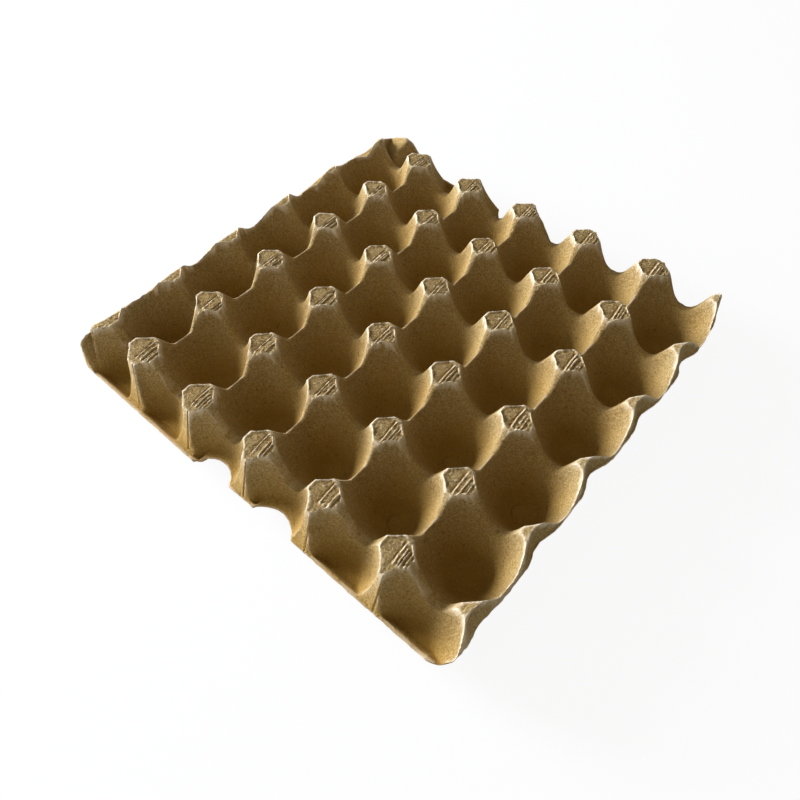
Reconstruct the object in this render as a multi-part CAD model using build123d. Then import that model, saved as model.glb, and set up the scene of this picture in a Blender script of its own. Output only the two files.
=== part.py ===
from build123d import *
import math
import os

# Moulded pulp tray for thirty eggs, cups upwards, in millimetres.
# X runs along the six cups of a row, and Y along the five rows.
# The origin is on the table, under the middle of the tray.
# The sheet is modelled as it is moulded: an egg-side form, less the same form
# set back by the wall everywhere, trimmed to the tray's outline.

# Layout
cups_along_x = 6
cups_along_y = 5
cup_pitch = 48.5
tray_height = 43.0
wall = 2.0

# Cup: two tapers over a flat foot, the upper one steep between the posts
cup_floor_radius = 9.5
cup_shoulder_drop = 12.0
cup_shoulder_radius = 24.9
cup_mouth_radius = 26.8

# Webs: thin crests between cups that are neighbours along X
web_drop = 13.6
web_crest_length = 14.0
web_flank_angle = 62.0

# Saddles: broad round valleys between posts that are neighbours along X
saddle_drop = 19.4
saddle_bottom_radius = 6.5
saddle_flank_angle = 62.0

# Long sides: a low straight rim, half pockets, and the posts' buttresses
rim_drop = 27.6
rim_reach = 25.75
rim_land = 2.2
rim_wall_angle = 60.0
pocket_drop = 34.0
buttress_top_reach = 10.4
buttress_run = 11.4

# Ends: edge posts cut near their middle, which stand on a narrow lip
edge_post_reach = 3.4
edge_face_run = 3.8
lip_drop = 12.5
lip_reach = 1.5

# Corners: the rim climbs from its low level to the lips
corner_climb_start = 10.0
corner_climb_run = 12.0
corner_radius = 10.0

# Finger notches in the middle pockets of both long sides, which are shallow shelves
notches_per_side = 2
notch_radius = 17.0
notch_depth = 11.2
notch_shelf_drop = 28.6

# Places that follow from the sizes
post_line_x = cups_along_x * cup_pitch / 2
post_line_y = cups_along_y * cup_pitch / 2
pocket_line_y = post_line_y + cup_pitch / 2
trim_x = post_line_x + lip_reach
trim_y = post_line_y + rim_reach
rim_z = tray_height - rim_drop
lip_z = tray_height - lip_drop
cup_columns = [(n - (cups_along_x - 1) / 2) * cup_pitch for n in range(cups_along_x)]
cup_rows = [(n - (cups_along_y - 1) / 2) * cup_pitch for n in range(cups_along_y)]
first_notch = (cups_along_x - notches_per_side) // 2
notch_columns = cup_columns[first_notch : first_notch + notches_per_side]

# The blanks and cutters reach past the tray by one tray height on every side
blank_x = trim_x + tray_height
blank_y = trim_y + tray_height
sky = 2 * tray_height
ground = -tray_height


def run_of(rise, angle):
    """Level length of a flank that rises this much at this angle."""
    return rise / math.tan(math.radians(angle))


def symmetric_face(right_points):
    """A face whose right half has these points, in order around it."""
    left_points = [(-x, z) for x, z in reversed(right_points)]
    return make_face(Polyline(*right_points, *left_points, close=True))


def moved_out(section, depth):
    """The section with its outline moved out by depth, and its corners kept sharp."""
    if depth == 0:
        return section
    return offset(section, amount=depth, kind=Kind.INTERSECTION)


def along_x(section):
    return extrude(Plane.YZ * section, amount=blank_x, both=True)


def along_y(section):
    return extrude(Plane.XZ * section, amount=blank_y, both=True)


def bowl(floor_z, depth):
    """Round cutter of a cup, or of a pocket where its floor is higher."""
    shoulder_z = tray_height - cup_shoulder_drop
    lower_taper = (cup_shoulder_radius - cup_floor_radius) / (shoulder_z - wall)
    upper_taper = (cup_mouth_radius - cup_shoulder_radius) / cup_shoulder_drop
    floor_radius = cup_floor_radius + (floor_z - wall) * lower_taper
    sky_radius = cup_mouth_radius + (sky - tray_height) * upper_taper
    section = symmetric_face(
        [(floor_radius, floor_z), (cup_shoulder_radius, shoulder_z), (sky_radius, sky)]
    )
    right_side = Pos(blank_x / 2, 0) * Rectangle(blank_x, 2 * (sky + blank_x))
    return revolve(Plane.XZ * (moved_out(section, depth) & right_side), axis=Axis.Z)


def saddle_trough(depth):
    """Round-bottomed V that runs along Y through one column of cups."""
    bottom_z = tray_height - saddle_drop
    angle = math.radians(saddle_flank_angle)
    flank_x = saddle_bottom_radius * math.sin(angle)
    flank_z = bottom_z + saddle_bottom_radius * (1 - math.cos(angle))
    sky_x = flank_x + run_of(sky - flank_z, saddle_flank_angle)
    bottom = ThreePointArc((-flank_x, flank_z), (0, bottom_z), (flank_x, flank_z))
    flanks = Polyline((flank_x, flank_z), (sky_x, sky), (-sky_x, sky), (-flank_x, flank_z))
    return along_y(moved_out(make_face(bottom + flanks), depth))


def web_trough(depth):
    """Flat-bottomed V that runs along X through one row of cups."""
    crest_z = tray_height - web_drop
    crest_y = web_crest_length / 2
    sky_y = crest_y + run_of(sky - crest_z, web_flank_angle)
    return along_x(moved_out(symmetric_face([(crest_y, crest_z), (sky_y, sky)]), depth))


def blank(depth):
    """The block that all cups are sunk in, with its slopes at the sides and ends."""
    buttress_y = post_line_y + buttress_top_reach
    side = symmetric_face(
        [
            (buttress_y, tray_height),
            (buttress_y + buttress_run, rim_z),
            (blank_y, rim_z),
            (blank_y, ground),
        ]
    )
    climb_x = cup_columns[-1] + corner_climb_start
    rim = symmetric_face(
        [
            (climb_x, rim_z),
            (climb_x + corner_climb_run, lip_z),
            (blank_x, lip_z),
            (blank_x, ground),
        ]
    )
    edge_x = post_line_x - edge_post_reach
    end = symmetric_face(
        [
            (edge_x, tray_height),
            (edge_x + edge_face_run, lip_z),
            (blank_x, lip_z),
            (blank_x, ground),
        ]
    )
    body = along_x(moved_out(side, -depth)) + along_y(moved_out(rim, -depth))
    return body & along_y(moved_out(end, -depth))


def pocket_room(depth):
    """Room for the pockets, between the inner slopes of the two rims."""
    land_y = trim_y - rim_land
    low_y = land_y - run_of(rim_z - ground, rim_wall_angle)
    high_y = land_y + run_of(sky - rim_z, rim_wall_angle)
    return along_x(moved_out(symmetric_face([(low_y, ground), (high_y, sky)]), depth))


def form(depth):
    """The egg-side form of the whole tray, set back by depth into the pulp."""
    cup = bowl(wall, depth)
    room = pocket_room(depth)
    pocket = bowl(tray_height - pocket_drop, depth)
    shelf = bowl(tray_height - notch_shelf_drop, depth)
    saddle = saddle_trough(depth)
    web = web_trough(depth)
    solid = blank(depth) - [Pos(x, y) * cup for x in cup_columns for y in cup_rows]
    solid -= [Pos(x, 0) * saddle for x in cup_columns]
    solid -= [Pos(0, y) * web for y in cup_rows]
    # Pockets overlap their neighbours, so they are sunk one at a time
    for x in cup_columns:
        hollow = shelf if x in notch_columns else pocket
        for side in (-1, 1):
            solid -= Pos(x, side * pocket_line_y) * hollow & room
    return solid


def outline():
    """The trimmed outline of the tray as a prism, with the finger notches."""
    plan = RectangleRounded(2 * trim_x, 2 * trim_y, corner_radius)
    notch_y = trim_y + notch_radius - notch_depth
    for x in notch_columns:
        for side in (-1, 1):
            plan -= Pos(x, side * notch_y) * Circle(notch_radius)
    return extrude(plan, amount=tray_height)


os.makedirs("parts", exist_ok=True)
egg_tray = (outline() & form(0)) - form(wall)
export_step(egg_tray, "parts/egg_tray.step")
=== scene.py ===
import math

import bpy
import numpy as np
from mathutils import Euler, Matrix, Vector


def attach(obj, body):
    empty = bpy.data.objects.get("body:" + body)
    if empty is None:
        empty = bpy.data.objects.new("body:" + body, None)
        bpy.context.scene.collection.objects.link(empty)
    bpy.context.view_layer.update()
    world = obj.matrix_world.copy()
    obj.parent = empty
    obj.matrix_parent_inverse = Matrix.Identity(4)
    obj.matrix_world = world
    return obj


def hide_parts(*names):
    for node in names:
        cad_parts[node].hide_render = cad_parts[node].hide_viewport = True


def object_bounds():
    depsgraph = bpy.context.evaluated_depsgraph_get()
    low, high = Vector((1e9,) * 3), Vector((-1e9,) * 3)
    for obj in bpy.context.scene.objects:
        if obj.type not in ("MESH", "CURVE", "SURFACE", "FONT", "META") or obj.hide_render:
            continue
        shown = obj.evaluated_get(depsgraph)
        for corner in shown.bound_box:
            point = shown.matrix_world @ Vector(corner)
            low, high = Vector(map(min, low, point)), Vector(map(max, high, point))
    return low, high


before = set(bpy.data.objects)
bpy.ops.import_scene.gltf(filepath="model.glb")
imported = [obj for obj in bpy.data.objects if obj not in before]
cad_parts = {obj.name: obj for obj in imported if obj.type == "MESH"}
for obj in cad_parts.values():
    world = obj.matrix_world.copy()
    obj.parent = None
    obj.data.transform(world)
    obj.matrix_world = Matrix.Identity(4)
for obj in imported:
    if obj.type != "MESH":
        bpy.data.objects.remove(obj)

# A moulded pulp tray for thirty eggs, on a pale floor. All lengths are in metres.
# The tray is one mesh: a fine grid that is pressed into the mould's egg-side form,
# given its wall, and thinned. The heights of profiles, rims and lips are above the floor,
# a slope is height per length, and a run is where a change starts and where it ends.

cad_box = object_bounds()
half_length = cad_box[1][0]
half_width = cad_box[1][1]
tray_height = cad_box[1][2]

# Layout of the tray
cup_pitch = 0.0485
cups_along_x = 6
cups_along_y = 5
wall = 0.002
post_line_x = cups_along_x * cup_pitch / 2
post_line_y = cups_along_y * cup_pitch / 2
pocket_line_y = post_line_y + cup_pitch / 2
cup_columns = (np.arange(cups_along_x) - (cups_along_x - 1) / 2) * cup_pitch
cup_rows = (np.arange(cups_along_y) - (cups_along_y - 1) / 2) * cup_pitch
post_columns = (np.arange(cups_along_x + 1) - cups_along_x / 2) * cup_pitch
post_rows = (np.arange(cups_along_y + 1) - cups_along_y / 2) * cup_pitch

# Mould profiles, each as distances from its axis and the heights there
cup_profile = ((0.0, 0.0066, 0.0096, 0.0133, 0.0194, 0.0243, 0.0265, 0.080),
               (0.002, 0.002, 0.0037, 0.0086, 0.0187, 0.0298, 0.0430, 0.290))
saddle_profile = ((0.0, 0.0030, 0.0060, 0.0100, 0.0132, 0.0150, 0.080),
                  (0.0231, 0.0234, 0.0258, 0.0330, 0.0392, 0.0430, 0.180))
web_profile = ((0.0, 0.0068, 0.0155, 0.080),
               (0.0295, 0.0295, 0.0430, 0.143))
cup_softness = 0.0018
saddle_softness = 0.0016
web_softness = 0.0012
pocket_softness = 0.0010
profile_taps = 9

# How widely the edge is rounded off where two forms cross. Around a cup it goes from the saddles'
# to the webs' over the crest run, which is measured along X from the cup's middle.
top_side_blend = 0.0010
side_rim_blend = 0.0015
rim_climb_blend = 0.003
edge_knob_blend = 0.0040
post_saddle_blend = 0.0015
post_web_blend = 0.0010
web_crest_blend = 0.0009
saddle_crest_blend = 0.0040
web_crest_run = (0.004, 0.017)
pocket_floor_blend = 0.003
pocket_edge_blend = 0.0008

# Cups: the button at the bottom, and how much narrower the cups at the -X end are
button_rise = 0.0004
button_run = (0.0036, 0.0046)
end_cup_pinch = 0.014
end_cup_run = (0.128, 0.146)

# Crescent marks of the mould's screws, in these cups, as the places of their middles
crescents = ((0.0728, -0.0970), (0.0728, -0.0485), (0.1213, -0.0485))
crescent_radius = 0.0050
crescent_width = 0.0005
crescent_depth = 0.0011
crescent_run = (0.0005, 0.0030)

# Beads: thin ridges along the crests of the webs
bead_rise = 0.0005
bead_width = 0.0006
bead_run = (0.009, 0.012)
bead_margin = 0.001

# Post tops: domed, dished inside their border, tipped down towards +X, and steeper past their
# brow and, by a slope between the two tips, past their crease
top_dome = 0.0003
top_dome_reach = (0.008, 0.009)
top_dish = 0.0009
top_border = 0.0034
top_tilt = 0.15
top_tilt_start = 0.006
top_tilt_width = 0.0066
top_brow = 0.16
top_brow_start = 0.0060
top_tips = (0.02, 0.10)
# The half posts' tops at +X are flatter, and are tipped down towards -X
last_top_dish = 0.2
last_top_tilt = 0.20

# Creases along Y across the post tops, each a small step with a groove before and a ridge after it
crease_place = 0.0004
crease_scatter = 0.0004
crease_lean = -0.07
crease_width = 0.00038
crease_step = 0.0009
crease_step_run = (-0.0002, 0.0010)
crease_groove = 0.4
crease_groove_place = 0.0005
crease_ridge_place = 0.0009
crease_heights = (0.0003, 0.0006)
crease_run = (0.0065, 0.0085)
crease_share_at_ends = (0.15, 0.5)

# Pleats: small ridges beside the creases, at the side that tips down
pleat_places = (0.0036, 0.0054, 0.0070)
pleat_heights = (0.0002, 0.0009)
pleat_scatter = 0.0005
pleat_width = 0.00042
pleat_middle = 0.0012
pleat_reach = 0.0056
pleat_fade = 0.001

# How far all posts lean along X and Y, and how wide the lean is around each post
post_lean = (-0.0004, 0.0018)
post_lean_width = 0.012

# Long sides: a low rim, which sags along +Y, and the inner wall of the pockets
rim_height = 0.0154
rim_land = 0.0020
rim_wall_slope = 1.9
rim_sag = 0.0132
rim_sag_run = (-0.150, 0.035)
rim_sag_beyond_posts = (0.002, 0.008)
pocket_floor = 0.009
pocket_inset = 0.0012

# Buttresses under the edge posts: a roof about the crease, a seam and groove on it, and a fin
buttress_top_reach = 0.0103
buttress_slope = 2.42
buttress_roof = 0.10
buttress_seam = 0.0008
buttress_groove = 0.0006
fin_place = 0.0026
fin_width = 0.0013
fin_rise = 0.0007

# How far the long edges are drawn in: the least, how much more, and the run of the change
near_draw = (0.0001, 0.0029)
near_draw_run = (-0.045, 0.0)
far_draw = (0.0012, 0.0060)
far_draw_run = (-0.045, 0.020)

# Ends: the heights of their uneven lips, as places along Y and the heights there
left_lip = ((-0.147, -0.141, -0.135, -0.127, -0.118, -0.097, -0.088, -0.075,
             -0.063, -0.050, -0.034, -0.019, 0.001, 0.020, 0.036, 0.041,
             0.067, 0.080, 0.089, 0.105, 0.116, 0.132, 0.147),
            (0.0320, 0.0362, 0.0392, 0.0410, 0.0398, 0.0385, 0.0378, 0.0405,
             0.0382, 0.0340, 0.0395, 0.0390, 0.0308, 0.0370, 0.0385, 0.0315,
             0.0344, 0.0375, 0.0325, 0.0318, 0.0296, 0.0335, 0.0274))
right_lip = ((-0.147, -0.129, -0.1215, -0.1150, -0.097, -0.080, -0.0728, -0.062,
              -0.0485, -0.034, -0.0243, -0.014, 0.0, 0.014, 0.0243, 0.034,
              0.0485, 0.062, 0.0728, 0.084, 0.097, 0.112, 0.1213, 0.147),
             (0.0165, 0.0160, 0.0200, 0.0290, 0.0265, 0.0280, 0.0280, 0.0310,
              0.0325, 0.0300, 0.0300, 0.0325, 0.0320, 0.0315, 0.0300, 0.0315,
              0.0320, 0.0315, 0.0295, 0.0315, 0.0320, 0.0315, 0.0300, 0.0290))
lip_softness = 0.0025

# How widely the webs' crests are rounded at the lips of -X and +X, and how high they climb there
lip_curl = (0.0012, 0.0045)
lip_curl_run_x = (0.138, 0.145)
lip_curl_run_y = (0.008, 0.014)
left_web_climb = 0.0120
left_web_run = (0.1430, 0.1458)
right_web_climb = 0.0025
right_web_run = (0.136, 0.145)

# End faces of the edge posts: where they start in from the post line, and how steep they are.
# At -X the last posts were trimmed at a slant, given as places along Y and the values there.
right_face_reach = 0.0016
right_face_slope = 5.2
left_face_reach = ((-0.147, 0.004, 0.0182, 0.0243, 0.0302, 0.0450, 0.0668, 0.0728,
                    0.0788, 0.0950, 0.1152, 0.1213, 0.147),
                   (0.0016, 0.0016, 0.0040, 0.0031, 0.0027, 0.0040, 0.0062, 0.0046,
                    0.0062, 0.0075, 0.0092, 0.0086, 0.0086))
left_face_slope = ((0.004, 0.0182), (5.2, 3.0))

# How far the trimmed ends are bitten in at each post row, and by the slant of the +X+Y corner
left_bite = 0.0008
right_bites = (0.0018, 0.0030, 0.0044, 0.0030, 0.0038, 0.0012)
bite_width = 0.0078
bite_shift = 0.0028
corner_slant = 0.09
slant_start = 0.084

# Corners in the order -X-Y, -X+Y, +X-Y, +X+Y: their radius, where and how steeply the rim
# climbs to the lip, and how fast the lip rises inwards
corner_radius = (0.0010, 0.0030, 0.0140, 0.0330)
climb_start = (0.1390, 0.1060, 0.1310, 0.1500)
climb_slope = (3.0, 1.14, 1.2, 0.8)
corner_rise = (0.0, 0.42, 0.0, 0.0)

# The -X-Y corner drops back to the rim, and no end face cuts into it
near_left_drop = 5.0
near_left_lift = 0.02
near_left_lift_run = (0.002, 0.009)

# The -X+Y corner has a filled saddle, a narrower land and a flatter pocket wall
far_left_saddle_fill = 0.05
far_left_saddle_run_x = (0.098, 0.106)
far_left_saddle_run_y = (0.127, 0.137)
far_left_land_cut = 0.0016
far_left_land_run = (0.100, 0.118)
far_left_slope_cut = 1.0
far_left_slope_run = (0.090, 0.108)

# The +X-Y corner has a wide pocket and a knob that is set back
near_right_stretch = 0.21
near_right_run = (0.121, 0.140)
near_right_setback = 0.0008
near_right_setback_place = 0.002
near_right_setback_width = 0.008

# The +X+Y corner has a shorter buttress
far_right_cut = 0.005
far_right_run = (0.120, 0.140)

# Finger notches: middle along X, radius, and how far they reach in from the edge
notches = ((-0.0225, 0.0150, 0.0112), (0.0265, 0.0180, 0.0112))
notch_shelf_run = (0.0, 0.004)
notch_shelf_drop = 0.0005

# Trimmed edge: how far in the mesh lines follow it at the ends, notches and sides, how far it
# lies in from the box, how thin the wall is pressed there, and how far its brim is rubbed down
end_fade = 0.024
notch_fade = 0.020
side_fade = 0.008
trim_margin = 0.0002
least_trim = 0.0001
trim_wall_share = 0.45
trim_wall_fade = 0.004
trim_drop = 0.0004
trim_drop_fade = 0.0012

# Random waves: their height, how large they are across, and their seed. The post seed is for what
# differs from post to post.
end_waves = ((0.00020, 0.016, 11), (0.00012, 0.0045, 12))
side_waves = ((0.00015, 0.012, 13), (0.00008, 0.004, 14))
pattern_waves_x = (0.0003, 0.020, 1)
pattern_waves_y = (0.0003, 0.020, 2)
top_waves = (0.00012, 0.0028, 22)
post_seed = 21

# Warp: the tray's bow along Y and X and its twist, per square of the cup pitch, with what
# each bow is measured from, and the share of height that is lost where it is lowest
bow_along_y = 0.0093
bow_middle_y = 3
bow_along_x = 0.016
bow_middle_x = 2
twist = 0.007
warp_start = 0.075
warp_span = 0.16
warp_loss = 0.06

# How far the pattern of cups has spread and leaned since it was moulded, in mm: the factor of each
# power of x and of y, where x and y count cup pitches. It fades out towards the trimmed edges.
drift_along_x = {(0, 0): -0.53, (0, 1): 0.42, (0, 2): 0.12, (0, 3): -0.05, (1, 0): -0.20,
                 (1, 1): -0.47, (1, 2): -0.06, (2, 0): -0.31, (2, 1): 0.12, (3, 0): 0.24}
drift_along_y = {(0, 0): 1.20, (0, 1): 1.46, (0, 2): -0.34, (0, 3): -0.27, (1, 0): 0.78,
                 (1, 1): -0.05, (1, 2): 0.14, (2, 0): 0.19, (2, 1): 0.02, (3, 0): -0.29}
drift_fade_x = (0.116, 0.141)
drift_fade_y = (0.130, 0.145)
millimetre = 0.001

# Mesh density. The wall spans less than this many lines where they are closest together.
lines_along_x = 560
lines_along_y = 550
line_crowding = 0.45
lines_per_wall = 7
line_samples = 8001
triangle_limit = 196000
smooth_angle = 60

# The bend, in 1/m, that counts as fully worn or fully hollow: it scales the pale tint of worn crests,
# which is also a painted highlight, and the painted shade of the hollows
full_bend = 900

# Scales of the pulp's patterns: nine clumps of fibre in 10 mm, one blotch in 25 mm,
# and seventeen cells with a pinhole each in 100 mm
fibre_scale = 9 / 0.010
blotch_scale = 1 / 0.025
pit_scale = 17 / 0.100
fibre_depth = 0.0014

# Stage: the white that the camera sees, the room's light, the floor, and what the lamps point at
white = (1, 1, 1, 1)
room_colour = (1.0, 0.94, 0.80, 1)
room_strength = 0.255
floor_size = 8.0
floor_gap = 0.0002
floor_white_share = 0.92
lamp_target = (0, 0, 0.02)

# Camera: place, turn in degrees, and lens and film in mm
camera_place = (0.1937, -0.2013, 0.3351)
camera_turn = (35.86, 3.29, 41.42)
camera_lens = 29.78
film_width = 36.0


def nearest(value, places):
    """Signed distance from the nearest of the places, and that place's number."""
    offsets = value[..., None] - places
    number = np.abs(offsets).argmin(-1)
    return np.take_along_axis(offsets, number[..., None], -1)[..., 0], number


def soft_min(a, b, blend):
    """The lower of two surfaces, with the edge where they cross rounded off."""
    overlap = np.clip(blend - np.abs(a - b), 0, None) / blend
    return np.minimum(a, b) - blend * overlap**2 / 4


def soft_max(a, b, blend):
    """The higher of two surfaces, with the edge where they cross filled in."""
    return -soft_min(-a, -b, blend)


def ramp(value, low, high):
    """0 below low, 1 above high, and smooth between."""
    t = np.clip((value - low) / (high - low), 0, 1)
    return t * t * (3 - 2 * t)


def ridge(distance, width):
    """1 on a line, and 0 a little beyond this width of it."""
    return np.exp(-(distance / width) ** 2)


def profile_height(distance, profile, softness):
    """Height of a mould profile, with its corners rounded over this softness."""
    taps = np.linspace(-softness, softness, profile_taps)
    return sum(np.interp(np.abs(distance + tap), *profile) for tap in taps) / len(taps)


def ripple(x, y, waves, count=14):
    """Smooth random waves of this height, size across and seed. Each is 0.6 to 1.6 times as large."""
    height, size, seed = waves
    rng = np.random.default_rng(seed)
    total = np.zeros_like(x)
    for angle, phase, stretch in rng.random((count, 3)):
        turn = math.tau * angle
        reach = math.tau / (size * (0.6 + stretch))
        total += np.sin(reach * (x * math.cos(turn) + y * math.sin(turn)) + math.tau * phase)
    return height * (total / math.sqrt(count))


def by_corner(x, y, values):
    """The value of the corner that each place is nearest to."""
    left = np.where(y < 0, values[0], values[1])
    right = np.where(y < 0, values[2], values[3])
    return np.where(x < 0, left, right)


def lines_between(edge, first_post, count):
    """Places of the mesh lines from -edge to edge, closest together at the posts."""
    fine = np.linspace(-edge, edge, line_samples)
    closeness = 1 + line_crowding * np.cos(math.tau * (fine - first_post) / cup_pitch)
    steps = np.cumsum(closeness)
    return np.interp(np.linspace(steps[0], steps[-1], count), steps, fine)


def rounded_corners(x, y):
    """Draws the corners of the plan in to their radius."""
    radius = by_corner(x, y, corner_radius)
    a = np.clip((np.abs(x) - (half_length - radius)) / radius, 0, 1)
    b = np.clip((np.abs(y) - (half_width - radius)) / radius, 0, 1)
    new_x = half_length - radius + radius * a * np.sqrt(1 - b * b / 2)
    new_y = half_width - radius + radius * b * np.sqrt(1 - a * a / 2)
    both = (a > 0) & (b > 0)
    return np.where(both, np.sign(x) * new_x, x), np.where(both, np.sign(y) * new_y, y)


def notch_bite(x):
    """How far the finger notches cut in from the long sides at x."""
    bite = np.zeros_like(x)
    for middle, radius, depth in notches:
        arc = np.sqrt(np.clip(radius**2 - (x - middle) ** 2, 0, None)) - (radius - depth)
        bite = np.maximum(bite, arc)
    return bite


def rim_draw(x, y):
    """How far the long edges are drawn in from the full width of the tray."""
    near_side = near_draw[0] + near_draw[1] * ramp(x, *near_draw_run)
    far_side = far_draw[0] + far_draw[1] * ramp(x, *far_draw_run)
    return np.where(y < 0, near_side, far_side)


def end_bite(x, y):
    """How far the trimmed ends are bitten in at y."""
    from_post, row = nearest(y, post_rows)
    deepest = np.where(x < 0, left_bite, np.array(right_bites)[row])
    bite = deepest * ridge(from_post - bite_shift, bite_width)
    return bite + (x > 0) * corner_slant * np.clip(y - slant_start, 0, None)


def end_lip(x, y):
    """Height of the uneven lips along the ends."""
    total = 0
    for tap in (-lip_softness, 0, lip_softness):
        left = np.interp(y + tap, *left_lip)
        right = np.interp(y + tap, *right_lip)
        total = total + np.where(x < 0, left, right)
    return total / 3


def plan_places(u, v):
    """Plan of the tray's mesh lines, with corners, notches and the uneven trimmed edge."""
    x, y = rounded_corners(u, v)
    rough_x = ripple(y, np.sign(x), end_waves[0]) + ripple(y, 0, end_waves[1])
    rough_y = ripple(x, 0, side_waves[0]) + ripple(x, 0, side_waves[1])
    in_x = end_bite(x, y) + trim_margin - np.sign(x) * rough_x
    in_x = np.clip(in_x, least_trim, None) * ramp(np.abs(u), half_length - end_fade, half_length)
    notch = np.maximum(notch_bite(x) - rim_draw(x, y), 0)
    side = np.clip(rim_draw(x, y) - rough_y, least_trim, None)
    in_y = notch * ramp(np.abs(v), half_width - notch_fade, half_width)
    in_y = in_y + side * ramp(np.abs(v), half_width - side_fade, half_width)
    return x - np.sign(x) * in_x, y - np.sign(y) * in_y


def warp(x, y):
    """How far the tray has warped while it dried, 0 where it is highest and 1 where it is lowest."""
    bow = bow_along_y * ((y / cup_pitch) ** 2 - bow_middle_y)
    bow = bow - bow_along_x * ((x / cup_pitch) ** 2 - bow_middle_x)
    bow = bow - twist * x * y / cup_pitch**2
    return np.clip((bow + warp_start) / warp_span, 0, 1)


def drift(x, y, factors):
    """How far the pattern has moved at each place. The trimmed edges stay."""
    fade = (1 - ramp(np.abs(x), *drift_fade_x)) * (1 - ramp(np.abs(y), *drift_fade_y))
    a = x / cup_pitch
    b = y / cup_pitch
    return millimetre * fade * sum(k * a**i * b**j for (i, j), k in factors.items())


def pattern_places(x, y):
    """Where each place lies in the mould's regular pattern, before the tray moved it."""
    from_column, _ = nearest(x, post_columns)
    from_row, _ = nearest(y, post_rows)
    lean = ridge(from_column, post_lean_width) * ridge(from_row, post_lean_width)
    pattern_x = x + ripple(x, y, pattern_waves_x) - drift(x, y, drift_along_x)
    pattern_y = y + ripple(x, y, pattern_waves_y) - drift(x, y, drift_along_y)
    return pattern_x - post_lean[0] * lean, pattern_y - post_lean[1] * lean


def post_top(a, b, room, post):
    """Height of the post tops at a and b from each post's middle, and how far past its crease
    each place is. Room is how high the flanks of the cups, webs and saddles would be there."""
    rng = np.random.default_rng(post_seed)
    posts = (len(post_columns), len(post_rows))
    place = crease_place + crease_scatter * rng.standard_normal(posts)[post]
    height = rng.uniform(*crease_heights, posts)[post]
    tip = rng.uniform(*top_tips, posts)[post]
    first_share, last_share = crease_share_at_ends
    share = np.array([first_share] + [1.0] * (posts[0] - 2) + [last_share])[post[0]]
    past = a - place - crease_lean * b
    last = post[0] == posts[0] - 1

    dome = (a / top_dome_reach[0]) ** 2 + (b / top_dome_reach[1]) ** 2
    top = tray_height - top_dome * dome - tip * np.clip(past, 0, None)
    dish = top_dish * np.where(last, last_top_dish, 1.0)
    top = top - dish * (1 - ridge(room - tray_height, top_border))
    tilt = top_tilt * np.clip(top_tilt_start + a, 0, top_tilt_width)
    top = top - np.where(last, -last_top_tilt * np.clip(a, None, 0), tilt)
    top = top - top_brow * np.clip(a - top_brow_start, 0, None)

    along = 1 - ramp(np.abs(b), *crease_run)
    groove = crease_groove * ridge(past + crease_groove_place, crease_width)
    step = ramp(past, *crease_step_run) - groove
    crease = crease_step * step + height * ridge(past - crease_ridge_place, crease_width)
    top = top + crease * along * share
    for pleat in pleat_places:
        height = rng.uniform(*pleat_heights, posts)[post]
        shift = rng.uniform(-pleat_scatter, pleat_scatter, posts)[post]
        along = 1 - ramp(np.abs(b + pleat_middle), pleat_reach - pleat_fade, pleat_reach + pleat_fade)
        from_pleat = a - pleat - shift - crease_lean * b
        top = top + height * along * share * ridge(from_pleat, pleat_width)
    return top + ripple(a + post[0], b + post[1], top_waves), past


def saddles(x, y, from_column):
    """Valleys between posts that are neighbours along X."""
    fill = far_left_saddle_fill * ramp(y, *far_left_saddle_run_y)
    saddle = profile_height(from_column, saddle_profile, saddle_softness)
    return saddle + fill * ramp(-x, *far_left_saddle_run_x)


def webs(x, far_x, from_row):
    """Troughs whose bottoms are the crests between cups that are neighbours along X."""
    left_climb = left_web_climb * ramp(far_x, *left_web_run)
    right_climb = right_web_climb * ramp(far_x, *right_web_run)
    web = profile_height(from_row, web_profile, web_softness)
    return web + np.where(x < 0, left_climb, right_climb)


def buttresses(x, y, past):
    """Slopes from the edge posts down to the rims of the long sides."""
    reach = buttress_top_reach - far_right_cut * ramp(x, *far_right_run) * (y > 0)
    side = tray_height - buttress_slope * (np.abs(y) - post_line_y - reach)
    side = side - buttress_roof * np.abs(past)
    side = side + buttress_seam * ridge(past, crease_width)
    side = side - buttress_groove * ridge(past - crease_ridge_place, crease_width)
    return side + fin_rise * ridge(past - fin_place, fin_width)


def long_rims(x, y, far_x, lip, edge_y):
    """Low rims of the long sides, which climb to the lips at the corners."""
    climb = rim_height + by_corner(x, y, climb_slope) * (far_x - by_corner(x, y, climb_start))
    drop = rim_height + near_left_drop * (edge_y + y)
    climb = np.where((x < 0) & (y < 0), np.minimum(climb, drop), climb)
    rim = soft_max(rim_height + 0 * x, climb, rim_climb_blend)
    return soft_min(rim, lip, rim_climb_blend)


def end_faces(x, y, far_x):
    """Trimmed faces of the half posts at the ends."""
    from_knob = y + post_line_y + near_right_setback_place
    setback = near_right_setback * ridge(from_knob, near_right_setback_width)
    right_reach = right_face_reach + end_bite(x, y) + setback
    reach = np.where(x < 0, np.interp(y, *left_face_reach), right_reach)
    slope = np.where(x < 0, np.interp(y, *left_face_slope), right_face_slope)
    end = tray_height - slope * (far_x - post_line_x + reach)
    start, full = near_left_lift_run
    lift = near_left_lift * ramp(-y, post_line_y + start, post_line_y + full)
    return end + lift * (x < 0)


def cups(x, y, from_axis):
    """The cups, with the button at the bottom and the marks of the mould's screws."""
    bowl = profile_height(from_axis, cup_profile, cup_softness)
    bowl = bowl + button_rise * (1 - ramp(from_axis, *button_run))
    for middle_x, middle_y in crescents:
        from_ring = np.hypot(x - middle_x, y - middle_y) - crescent_radius
        ring = crescent_depth * ridge(from_ring, crescent_width)
        bowl = bowl - ring * ramp(middle_x - x, *crescent_run)
    return bowl


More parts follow.
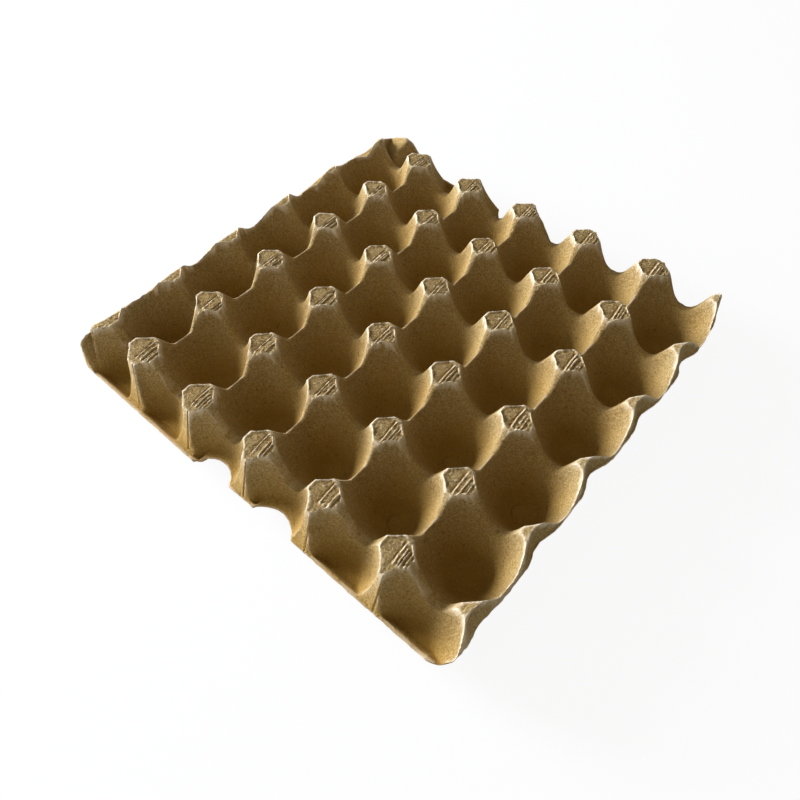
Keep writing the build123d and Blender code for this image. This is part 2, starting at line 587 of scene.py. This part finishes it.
def crest_blend(x, far_x, from_column, b):
    """How widely the crests around the cups are rounded off."""
    along_web = ramp(np.abs(from_column), *web_crest_run)
    blend = saddle_crest_blend + (web_crest_blend - saddle_crest_blend) * along_web
    curl = np.where(x < 0, *lip_curl)
    at_lip = ramp(far_x, *lip_curl_run_x)
    return blend + (curl - blend) * at_lip * ramp(np.abs(b), *lip_curl_run_y)


def pockets(x, y, from_column, far_y, rim, sag, edge_y):
    """Half pockets along the long sides, which are shallow shelves at the finger notches."""
    stretch = 1 - near_right_stretch * ramp(x, *near_right_run) * (y < 0)
    from_axis = np.hypot(from_column * stretch, far_y - pocket_line_y)
    pocket = profile_height(from_axis + pocket_inset, cup_profile, pocket_softness)
    shelf = ramp(notch_bite(x), *notch_shelf_run)
    shelf_rise = rim_height - notch_shelf_drop - pocket_floor
    floor = pocket_floor + shelf_rise * shelf - sag * shelf
    land = rim_land - far_left_land_cut * ramp(-x, *far_left_land_run) * (y > 0)
    slope = rim_wall_slope - far_left_slope_cut * ramp(-x, *far_left_slope_run) * (y > 0)
    inner_wall = rim + slope * (np.abs(y) - edge_y + land)
    return soft_max(pocket, soft_max(floor, inner_wall, pocket_floor_blend), pocket_floor_blend)


def egg_side(x, y):
    """Height of the mould's egg-side form."""
    pattern_x, pattern_y = pattern_places(x, y)
    far_x = np.abs(pattern_x)
    far_y = np.abs(pattern_y)
    from_column, _ = nearest(pattern_x, cup_columns)
    from_row, _ = nearest(pattern_y, cup_rows)
    a, column = nearest(pattern_x, post_columns)
    b, row = nearest(pattern_y, post_rows)
    edge_y = half_width - rim_draw(x, y)

    saddle = saddles(x, y, from_column)
    web = webs(x, far_x, from_row)
    from_axis = np.hypot(from_column, from_row) / (1 - end_cup_pinch * ramp(-x, *end_cup_run))
    plain_cup = profile_height(from_axis, cup_profile, cup_softness)
    room = np.minimum(np.minimum(saddle, web), plain_cup)
    top, past = post_top(a, b, room, (column, row))

    sag = np.where(y > 0, rim_sag * ramp(x, *rim_sag_run), 0)
    start, full = rim_sag_beyond_posts
    beyond = ramp(far_y, post_line_y + start, post_line_y + full)
    at_corner = (half_length - far_x) * (far_y > post_line_y)
    lip = end_lip(x, y) + by_corner(x, y, corner_rise) * at_corner
    rim = long_rims(x, y, far_x, lip, edge_y) - sag * beyond
    side = soft_max(buttresses(x, y, past), rim, side_rim_blend)
    end = soft_max(end_faces(x, y, far_x), lip - sag * beyond, side_rim_blend)

    top = soft_min(top, side, top_side_blend)
    top = soft_min(top, end, edge_knob_blend)
    top = soft_min(top, saddle, post_saddle_blend)
    top = soft_min(top, web, post_web_blend)
    top = soft_min(top, cups(x, y, from_axis), crest_blend(x, far_x, from_column, b))
    bead = bead_rise * ridge(a, bead_width) * ramp(np.abs(b), *bead_run)
    top = top + bead * (far_x < post_line_x - bead_margin) * (far_y < post_line_y)
    pocket = pockets(x, y, from_column, far_y, rim, sag, edge_y)
    return soft_min(top, pocket, pocket_edge_blend)


def underside(x, y, z):
    """Height of the sheet's other face, one wall away from the egg side in every direction."""
    lowest = z - wall
    padded = [np.pad(values, lines_per_wall, mode="edge") for values in (x, y, z)]
    rows, columns = x.shape
    for i in range(2 * lines_per_wall + 1):
        for j in range(2 * lines_per_wall + 1):
            near_x, near_y, near_z = (p[i:i + rows, j:j + columns] for p in padded)
            distance2 = (near_x - x) ** 2 + (near_y - y) ** 2
            drop = np.sqrt(np.clip(wall**2 - distance2, 0, None))
            lowest = np.where(distance2 < wall**2, np.minimum(lowest, near_z - drop), lowest)
    return lowest


def sheet_places():
    """Plan places and heights of the egg side, and heights of the underside, on all mesh lines."""
    shape = (lines_along_y, lines_along_x)
    u = np.broadcast_to(lines_between(half_length, 0, lines_along_x)[None, :], shape)
    v = np.broadcast_to(lines_between(half_width, cup_pitch / 2, lines_along_y)[:, None], shape)
    x, y = plan_places(u, v)
    z = egg_side(x, y)
    shrink = 1 - warp_loss * warp(x, y)
    z = np.minimum(wall + (z - wall) * shrink, tray_height)
    low = np.maximum(underside(x, y, z), 0)
    # The sheet is pressed thinner where it is trimmed, and its edge is rubbed down
    from_edge = np.minimum(half_length - np.abs(u), half_width - np.abs(v))
    share = trim_wall_share + (1 - trim_wall_share) * ramp(from_edge, 0.0, trim_wall_fade)
    low = z - (z - low) * share
    z = z - trim_drop * (1 - ramp(from_edge, 0.0, trim_drop_fade))
    return x, y, z, low


def deselect_all():
    """Leaves nothing selected, so that an operator acts only on what it is meant for."""
    for item in bpy.context.selected_objects:
        item.select_set(False)


def apply_modifier(piece, kind, **settings):
    """Adds a modifier of this kind to the piece and applies it."""
    modifier = piece.modifiers.new(kind.title(), kind)
    for name, value in settings.items():
        setattr(modifier, name, value)
    bpy.context.view_layer.objects.active = piece
    bpy.ops.object.modifier_apply(modifier=modifier.name)


def vertex_values(mesh, name, size):
    """One row of this many numbers for each vertex."""
    values = np.empty(len(mesh.vertices) * size)
    mesh.vertices.foreach_get(name, values)
    return values.reshape(-1, size)


def note_bulge(mesh):
    """Keeps on each vertex how far it stands out from its neighbours, for the worn edges with their
    painted highlight and for the painted shade in the hollows.
    """
    places = vertex_values(mesh, "co", 3)
    normals = vertex_values(mesh, "normal", 3)
    ends = np.empty(len(mesh.edges) * 2, dtype=int)
    mesh.edges.foreach_get("vertices", ends)
    first, second = ends.reshape(-1, 2).T
    step = places[second] - places[first]
    length2 = (step**2).sum(1)
    count = len(places)
    total = np.bincount(first, -(step * normals[first]).sum(1) / length2, count)
    total += np.bincount(second, (step * normals[second]).sum(1) / length2, count)
    neighbours = np.bincount(ends, minlength=count)
    bulge = np.clip(total / neighbours / full_bend, -1, 1)
    for _ in range(2):
        spread = np.bincount(first, bulge[second], count) + np.bincount(second, bulge[first], count)
        bulge = 0.5 * bulge + 0.5 * spread / neighbours
    layer = mesh.attributes.new("bulge", "FLOAT", "POINT")
    layer.data.foreach_set("value", bulge)


def make_tray():
    """The tray: a grid pressed into the egg side, given its underside, and thinned."""
    deselect_all()
    bpy.ops.mesh.primitive_grid_add(
        x_subdivisions=lines_along_x - 1, y_subdivisions=lines_along_y - 1, size=2)
    tray = bpy.context.object
    tray.name = "pulp_tray"
    mesh = tray.data
    x, y, z, low = sheet_places()
    places = vertex_values(mesh, "co", 3)
    order = np.lexsort((places[:, 0].round(5), places[:, 1].round(5)))
    places[order] = np.stack([x.ravel(), y.ravel(), z.ravel()], 1)
    mesh.vertices.foreach_set("co", places.ravel())
    mesh.update()

    # The other face's vertices come after those of the first, in the same order
    apply_modifier(tray, "SOLIDIFY", thickness=wall, offset=-1)
    shell = vertex_values(mesh, "co", 3)
    count = len(order)
    shell[count:] = shell[:count]
    shell[count:][order, 2] = low.ravel()
    mesh.vertices.foreach_set("co", shell.ravel())
    mesh.update()

    triangles = sum(len(face.vertices) - 2 for face in mesh.polygons)
    apply_modifier(tray, "DECIMATE", ratio=triangle_limit / triangles)
    places = vertex_values(mesh, "co", 3)
    places[:, 2] = np.clip(places[:, 2], 0, tray_height)
    mesh.vertices.foreach_set("co", places.ravel())
    deselect_all()
    tray.select_set(True)
    bpy.context.view_layer.objects.active = tray
    bpy.ops.object.shade_smooth_by_angle(angle=math.radians(smooth_angle))
    note_bulge(mesh)
    return tray


def linear(hex_colour):
    """An sRGB hex colour as linear red, green, blue and alpha."""
    parts = [int(hex_colour[i:i + 2], 16) / 255 for i in (0, 2, 4)]
    return [p / 12.92 if p <= 0.04045 else ((p + 0.055) / 1.055) ** 2.4 for p in parts] + [1.0]


def new_material(name):
    """A material with its node tree and its shader."""
    material = bpy.data.materials.new(name)
    material.use_nodes = True
    return material, material.node_tree, material.node_tree.nodes["Principled BSDF"]


def add_node(tree, kind, settings=None, links=None):
    """Adds a node, sets its properties and sockets, and links what feeds it."""
    node = tree.nodes.new(kind)
    for name, value in (settings or {}).items():
        if isinstance(name, str) and hasattr(node, name):
            setattr(node, name, value)
        else:
            node.inputs[name].default_value = value
    for name, source in (links or {}).items():
        tree.links.new(source, node.inputs[name])
    return node


def pulp_material():
    """Grey-brown recycled paper pulp, pressed wet on a mesh mould and dried: quite matt,
    mottled by its fibres, paler where edges are rubbed and as a painted highlight on the crests,
    with painted shade in the hollows and a deeper painted shade towards the cup floors."""
    material, tree, shader = new_material("moulded_recycled_pulp")
    place = add_node(tree, "ShaderNodeTexCoord").outputs["Object"]
    bulge = add_node(tree, "ShaderNodeAttribute", {"attribute_name": "bulge"}).outputs["Fac"]
    height = add_node(tree, "ShaderNodeSeparateXYZ", None, {"Vector": place}).outputs["Z"]

    # Clumps of fibre go from the darker to the paler colour of the body
    noise = {"Scale": fibre_scale, "Detail": 4.0, "Roughness": 0.75}
    fibre = add_node(tree, "ShaderNodeTexNoise", noise, {"Vector": place}).outputs["Fac"]
    reach = {"From Min": 0.36, "From Max": 0.64}
    share = add_node(tree, "ShaderNodeMapRange", reach, {"Value": fibre}).outputs["Result"]
    colours = {"data_type": "RGBA", 6: linear("917743"), 7: linear("D6BB86")}
    body = add_node(tree, "ShaderNodeMix", colours, {0: share}).outputs[2]

    # Blotches darken it a little
    noise = {"Scale": blotch_scale, "Detail": 4.0, "Roughness": 0.6}
    blotch = add_node(tree, "ShaderNodeTexNoise", noise, {"Vector": place}).outputs["Fac"]
    reach = {"From Min": 0.35, "From Max": 0.70}
    share = add_node(tree, "ShaderNodeMapRange", reach, {"Value": blotch}).outputs["Result"]
    colours = {"data_type": "RGBA", "blend_type": "MULTIPLY", 7: linear("F2E9D8")}
    body = add_node(tree, "ShaderNodeMix", colours, {0: share, 6: body}).outputs[2]

    # Tints over the body: what each follows, where it starts, where it is full, how strong it is
    # there, and its colour. They are rubbed edges, which also stand as a painted highlight on the
    # crests, painted shade in the hollows, a deeper painted shade that grows towards the cup floors,
    # and pinholes about 1 mm across, left by air bubbles.
    pits = add_node(tree, "ShaderNodeTexVoronoi", {"Scale": pit_scale}, {"Vector": place})
    # rubbed wear on the crests, which also serves as a painted highlight there
    tints_with_painted_light = ((bulge, 0.04, 0.22, 1.0, "F6E4C4"),
             # painted shade: darker where the surface is hollow, in creases and valleys
             (bulge, -0.02, -0.20, 1.0, "8C6A36"),
             # painted shade: a deeper, warmer brown that grows towards the cup floors
             (height, 0.036, 0.006, 0.75, "A87D20"),
             (pits.outputs["Distance"], 0.16, 0.08, 0.5, "6B5023"))
    for source, start, full, strongest, colour in tints_with_painted_light:
        reach = {"From Min": start, "From Max": full, "To Max": strongest}
        share = add_node(tree, "ShaderNodeMapRange", reach, {"Value": source}).outputs["Result"]
        colours = {"data_type": "RGBA", 7: linear(colour)}
        body = add_node(tree, "ShaderNodeMix", colours, {0: share, 6: body}).outputs[2]

    tree.links.new(body, shader.inputs["Base Color"])
    shader.inputs["Roughness"].default_value = 0.95
    shader.inputs["Specular IOR Level"].default_value = 0.2
    relief = {"Strength": 1.0, "Distance": fibre_depth}
    bump = add_node(tree, "ShaderNodeBump", relief, {"Height": fibre})
    tree.links.new(bump.outputs["Normal"], shader.inputs["Normal"])
    return material


def seen_directly(tree):
    """1 for rays from the camera, also by way of metal and glass, and 0 for the others."""
    rays = add_node(tree, "ShaderNodeLightPath").outputs
    seen = rays["Is Camera Ray"]
    for kind in ("Is Glossy Ray", "Is Transmission Ray"):
        links = {0: seen, 1: rays[kind]}
        seen = add_node(tree, "ShaderNodeMath", {"operation": "MAXIMUM"}, links).outputs[0]
    return seen


def floor_material():
    """Plain pale paper: white to the camera, and it still takes the tray's soft shadow."""
    material, tree, shader = new_material("pale_floor")
    shader.inputs["Base Color"].default_value = linear("F2F2F0")
    shader.inputs["Roughness"].default_value = 0.9
    part = {"operation": "MULTIPLY", 1: floor_white_share}
    share = add_node(tree, "ShaderNodeMath", part, {0: seen_directly(tree)})
    glow = add_node(tree, "ShaderNodeEmission", {"Color": white, "Strength": 1.0})
    links = {0: share.outputs[0], 1: shader.outputs[0], 2: glow.outputs[0]}
    both = add_node(tree, "ShaderNodeMixShader", None, links)
    tree.links.new(both.outputs[0], tree.nodes["Material Output"].inputs["Surface"])
    return material


def make_floor():
    """A wide plane just under the tray."""
    deselect_all()
    bpy.ops.mesh.primitive_plane_add(size=floor_size, location=(0, 0, -floor_gap))
    floor = bpy.context.object
    floor.name = "floor"
    floor.data.materials.append(floor_material())
    return floor


def make_world():
    """Dim warm light from the room, which the camera sees as white paper."""
    world = bpy.data.worlds.new("studio")
    world.use_nodes = True
    tree = world.node_tree
    room = tree.nodes["Background"]
    room.inputs["Color"].default_value = room_colour
    room.inputs["Strength"].default_value = room_strength
    paper = add_node(tree, "ShaderNodeBackground", {"Color": white, "Strength": 1.0})
    links = {0: seen_directly(tree), 1: room.outputs[0], 2: paper.outputs[0]}
    both = add_node(tree, "ShaderNodeMixShader", None, links)
    tree.links.new(both.outputs[0], tree.nodes["World Output"].inputs["Surface"])
    bpy.context.scene.world = world


def area_light(name, place, power, size, colour=(1, 1, 1)):
    """A square lamp of this power in watts, which points at the tray."""
    light = bpy.data.lights.new(name, "AREA")
    light.energy = power
    light.shape = "SQUARE"
    light.size = size
    light.color = colour
    lamp = bpy.data.objects.new(name, light)
    bpy.context.scene.collection.objects.link(lamp)
    lamp.location = place
    lamp.rotation_euler = (Vector(lamp_target) - Vector(place)).to_track_quat("-Z", "Y").to_euler()


def make_camera():
    """The camera at the place that the photo was taken from."""
    camera_data = bpy.data.cameras.new("camera")
    camera_data.lens = camera_lens
    camera_data.sensor_width = film_width
    camera = bpy.data.objects.new("camera", camera_data)
    bpy.context.scene.collection.objects.link(camera)
    camera.location = camera_place
    camera.rotation_euler = Euler([math.radians(angle) for angle in camera_turn])
    bpy.context.scene.camera = camera


tray = make_tray()
tray.data.materials.clear()
tray.data.materials.append(pulp_material())
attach(tray, "root")
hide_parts("egg_tray")

floor = make_floor()
area_light("window_light", place=(-1.58, -0.42, 0.56), power=73.0, size=0.7, colour=(0.95, 1.0, 1.12))
area_light("fill_light", place=(-0.3, -1.6, 1.0), power=5.0, size=1.5)
make_world()
make_camera()
bpy.context.scene.view_settings.view_transform = "Standard"
